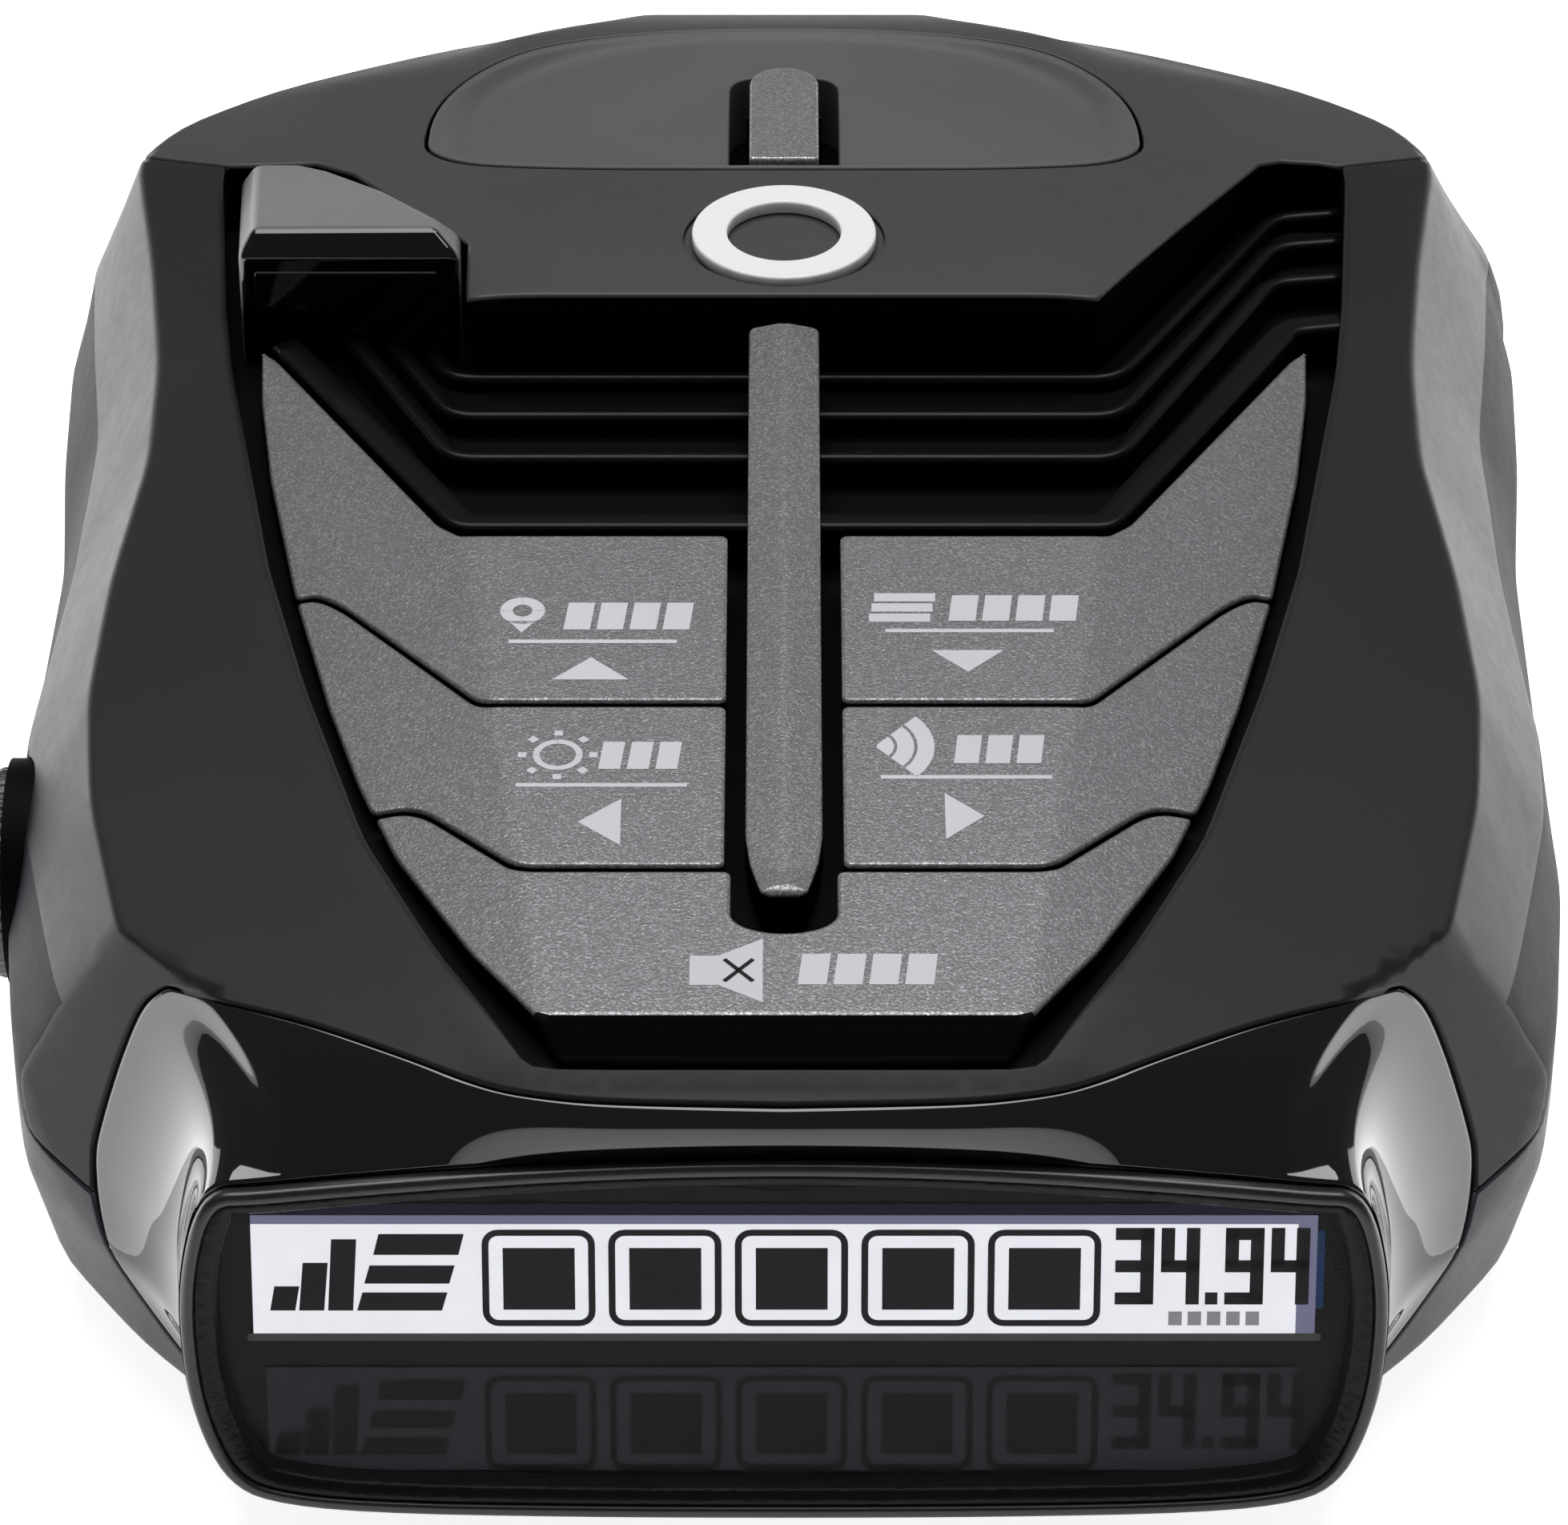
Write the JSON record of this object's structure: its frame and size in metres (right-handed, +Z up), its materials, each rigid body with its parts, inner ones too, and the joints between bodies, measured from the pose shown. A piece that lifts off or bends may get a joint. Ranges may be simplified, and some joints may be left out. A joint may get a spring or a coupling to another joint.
{
  "type": "radar detector",
  "caption": "Windshield radar detector with a wide display facing the driver, a sloping key field, a side volume knob and a bracket dock.",
  "frame": {"origin": "centre of the flat bottom, midway between the side walls", "axes": "+X to the driver's right, +Y towards the windshield, +Z up; the display faces -Y"},
  "size_m": [0.0883, 0.1176, 0.0338],
  "materials": {
    "case_plastic": "fine matte texture",
    "lower_plastic": "fine matte texture",
    "soft_touch": "soft-touch matte coating",
    "grille_plastic": "satin",
    "key_paint": "metallic grey paint with fine flakes over plastic",
    "gloss_black": "high gloss",
    "frame_plastic": "satin with a grained inner edge",
    "display_glass": "clear",
    "display_cell": "lit panel",
    "inner_black": "matte",
    "flex_film": "polyimide film",
    "smoked_window": "infrared-clear dark red",
    "lens_red": "polished",
    "board_green": "solder mask",
    "die_cast": "die cast",
    "shield_tin": "tinned sheet",
    "chip_black": "moulded",
    "ceramic": "ceramic with a silvered face",
    "silicone": "moulded silicone",
    "spring_steel": "plain",
    "speaker_black": "paper cone in a steel basket",
    "foam": "foam",
    "socket_black": "moulded",
    "pot_metal": "plated",
    "screw_black": "black zinc",
    "screw_zinc": "zinc",
    "label_grey": "blank foil label",
    "emblem_grey": "light silver",
    "release_metal": "light metallic paint",
    "knob_plastic": "satin with a bright rim"
  },
  "bodies": {
    "case": {"lower_case": "lower_plastic", "upper_case": "case_plastic", "rear_cover": "soft_touch", "dock_dish": "soft_touch", "emblem_ring": "emblem_grey", "louvre_grille": "grille_plastic", "spine_trim": "key_paint", "laser_pod": "case_plastic", "pod_window": "smoked_window", "pod_sensor": "lens_red", "display_bezel": "gloss_black", "display_frame": "frame_plastic", "display_window": "display_glass", "display_panel": "display_cell", "display_holder": "inner_black", "display_flex": "flex_film", "front_window": "smoked_window", "laser_lens": "lens_red", "laser_board": "board_green", "horn_antenna": "die_cast", "rf_board": "board_green", "rf_shield": "shield_tin", "main_board": "board_green", "processor": "chip_black", "gps_antenna": "ceramic", "key_board": "board_green", "key_membrane": "silicone", "contact_domes": "spring_steel", "speaker": "speaker_black", "speaker_gasket": "foam", "power_jack": "socket_black", "usb_port": "shield_tin", "volume_pot": "pot_metal", "case_screws": "screw_black", "board_screws": "screw_zinc", "bottom_label": "label_grey", "release_spring": "spring_steel"},
    "mark_key": {"mark_key": "key_paint"},
    "menu_key": {"menu_key": "key_paint"},
    "dim_key": {"dim_key": "key_paint"},
    "sensitivity_key": {"sensitivity_key": "key_paint"},
    "mute_key": {"mute_key": "key_paint"},
    "release_button": {"release_button": "release_metal"},
    "volume_knob": {"volume_knob": "knob_plastic"}
  },
  "joints": [
    {"name": "mark_press", "type": "slide", "parent": "case", "child": "mark_key", "axis": [0, 0, -1], "range_m": [0, 0.0005], "stiffness_N_per_m": 1500, "springref_m": -0.0005},
    {"name": "menu_press", "type": "slide", "parent": "case", "child": "menu_key", "axis": [0, 0, -1], "range_m": [0, 0.0005], "stiffness_N_per_m": 1500, "springref_m": -0.0005},
    {"name": "dim_press", "type": "slide", "parent": "case", "child": "dim_key", "axis": [0, 0, -1], "range_m": [0, 0.0005], "stiffness_N_per_m": 1500, "springref_m": -0.0005},
    {"name": "sensitivity_press", "type": "slide", "parent": "case", "child": "sensitivity_key", "axis": [0, 0, -1], "range_m": [0, 0.0005], "stiffness_N_per_m": 1500, "springref_m": -0.0005},
    {"name": "mute_press", "type": "slide", "parent": "case", "child": "mute_key", "axis": [0, 0, -1], "range_m": [0, 0.0005], "stiffness_N_per_m": 1500, "springref_m": -0.0005},
    {"name": "release_press", "type": "slide", "parent": "case", "child": "release_button", "axis": [0, 0, -1], "range_m": [0, 0.0014], "stiffness_N_per_m": 900, "springref_m": -0.002, "deforming": ["release_spring"]},
    {"name": "volume_turn", "type": "hinge", "parent": "case", "child": "volume_knob", "pos_m": [-0.041, -0.0175, 0.014], "axis": [-1, 0, 0], "range_deg": [-150, 150]}
  ]
}
